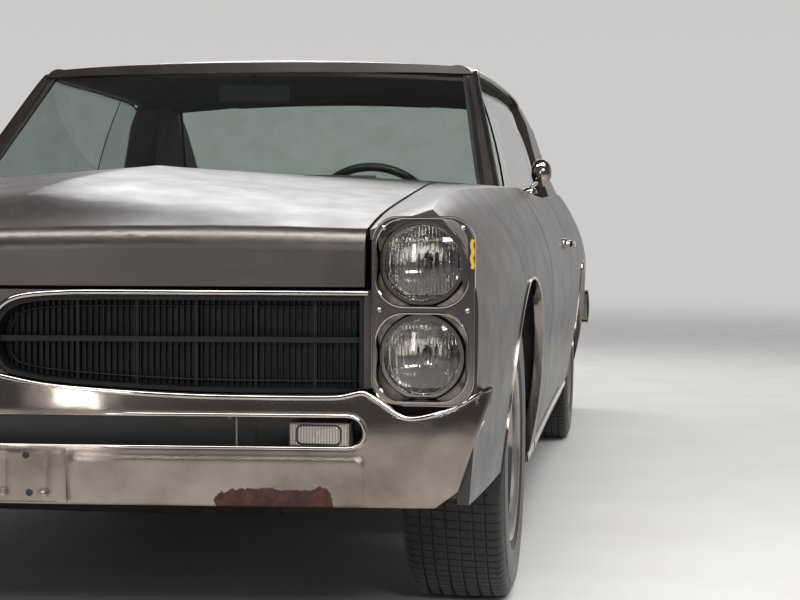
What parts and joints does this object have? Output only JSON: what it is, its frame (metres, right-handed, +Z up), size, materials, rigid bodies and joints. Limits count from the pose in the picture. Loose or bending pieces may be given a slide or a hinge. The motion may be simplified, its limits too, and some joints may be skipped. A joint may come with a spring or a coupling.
{
  "type": "two-door hardtop coupe",
  "caption": "Late-1960s two-door hardtop muscle coupe with stacked round headlamps, split grille, chrome bumpers and worn grey metallic paint.",
  "frame": {"origin": "on the ground under the middle of the bounding box", "axes": "+X forward to the nose, +Y to the car's left, +Z up"},
  "size_m": [5.2478, 1.901, 1.394],
  "materials": {
    "body_paint": "worn satin metallic",
    "under_paint": "satin black",
    "chrome": "polished, pitted in places",
    "lamp_silver": "textured silver",
    "grille_black": "satin black",
    "lamp_glass": "fluted clear",
    "window_glass": "clear, light green tint",
    "red_lens": "gloss",
    "parking_lens": "gloss",
    "tyre": "matte",
    "wheel_steel": "satin",
    "bare_steel": "rough",
    "steel": "dull",
    "vinyl": "satin vinyl",
    "dark_plastic": "matte"
  },
  "bodies": {
    "car_body": {"arch_mouldings": "chrome", "back_glass": "window_glass", "dashboard": "dark_plastic", "engine_block": "bare_steel", "exhaust": "steel", "firewall": "body_paint", "floor_pan": "under_paint", "frame": "under_paint", "front_bumper": "chrome", "front_fenders": "body_paint", "front_seats": "vinyl", "front_suspension": "bare_steel", "fuel_tank": "steel", "gearbox": "bare_steel", "grilles": "grille_black", "headlamp_bezels": "lamp_silver", "headlamp_rings": "chrome", "headlamps": "lamp_glass", "nose_panel": "body_paint", "parking_lamps": "parking_lens", "quarter_glass": "window_glass", "quarter_panels": "body_paint", "radiator": "under_paint", "rear_axle": "bare_steel", "rear_bumper": "chrome", "rear_deck": "body_paint", "rear_seat": "vinyl", "rear_view_mirror": "dark_plastic", "roof": "body_paint", "steering_wheel": "dark_plastic", "tail_lamps": "red_lens", "tail_panel": "body_paint", "wheelhouses": "under_paint", "windshield": "window_glass", "wipers": "dark_plastic"},
    "door_left": {"door_left": "body_paint", "door_glass_left": "window_glass", "door_mirror_left": "chrome"},
    "door_right": {"door_right": "body_paint", "door_glass_right": "window_glass"},
    "hood": {"hood": "body_paint"},
    "trunk_lid": {"trunk_lid": "body_paint"},
    "knuckle_left": {"knuckle_left": "bare_steel"},
    "knuckle_right": {"knuckle_right": "bare_steel"},
    "wheel_front_left": {"rim_front_left": "wheel_steel", "tyre_front_left": "tyre"},
    "wheel_front_right": {"rim_front_right": "wheel_steel", "tyre_front_right": "tyre"},
    "wheel_rear_left": {"rim_rear_left": "wheel_steel", "tyre_rear_left": "tyre"},
    "wheel_rear_right": {"rim_rear_right": "wheel_steel", "tyre_rear_right": "tyre"}
  },
  "joints": [
    {"name": "door_left_swing", "type": "hinge", "parent": "car_body", "child": "door_left", "pos_m": [0.956, 0.93, 0.65], "axis": [0, 0, -1], "range_deg": [0, 65]},
    {"name": "door_right_swing", "type": "hinge", "parent": "car_body", "child": "door_right", "pos_m": [0.956, -0.93, 0.65], "axis": [0, 0, 1], "range_deg": [0, 65]},
    {"name": "hood_lift", "type": "hinge", "parent": "car_body", "child": "hood", "pos_m": [1.16, 0, 0.94], "axis": [0, -1, 0], "range_deg": [0, 50]},
    {"name": "trunk_lift", "type": "hinge", "parent": "car_body", "child": "trunk_lid", "pos_m": [-1.227, 0, 0.937], "axis": [0, 1, 0], "range_deg": [0, 75]},
    {"name": "steer_left", "type": "hinge", "parent": "car_body", "child": "knuckle_left", "pos_m": [1.679, 0.668, 0.35], "axis": [0, 0, 1], "range_deg": [-30, 30]},
    {"name": "steer_right", "type": "hinge", "parent": "car_body", "child": "knuckle_right", "pos_m": [1.679, -0.668, 0.35], "axis": [0, 0, 1], "range_deg": [-30, 30]},
    {"name": "spin_front_left", "type": "hinge", "parent": "knuckle_left", "child": "wheel_front_left", "pos_m": [1.679, 0.79, 0.333], "axis": [0, 1, 0], "continuous": true},
    {"name": "spin_front_right", "type": "hinge", "parent": "knuckle_right", "child": "wheel_front_right", "pos_m": [1.679, -0.79, 0.333], "axis": [0, 1, 0], "continuous": true},
    {"name": "spin_rear_left", "type": "hinge", "parent": "car_body", "child": "wheel_rear_left", "pos_m": [-1.242, 0.79, 0.333], "axis": [0, 1, 0], "continuous": true},
    {"name": "spin_rear_right", "type": "hinge", "parent": "car_body", "child": "wheel_rear_right", "pos_m": [-1.242, -0.79, 0.333], "axis": [0, 1, 0], "continuous": true}
  ],
  "couplings": [
    {"joint": "steer_right", "follows": "steer_left", "ratio": 1}
  ]
}
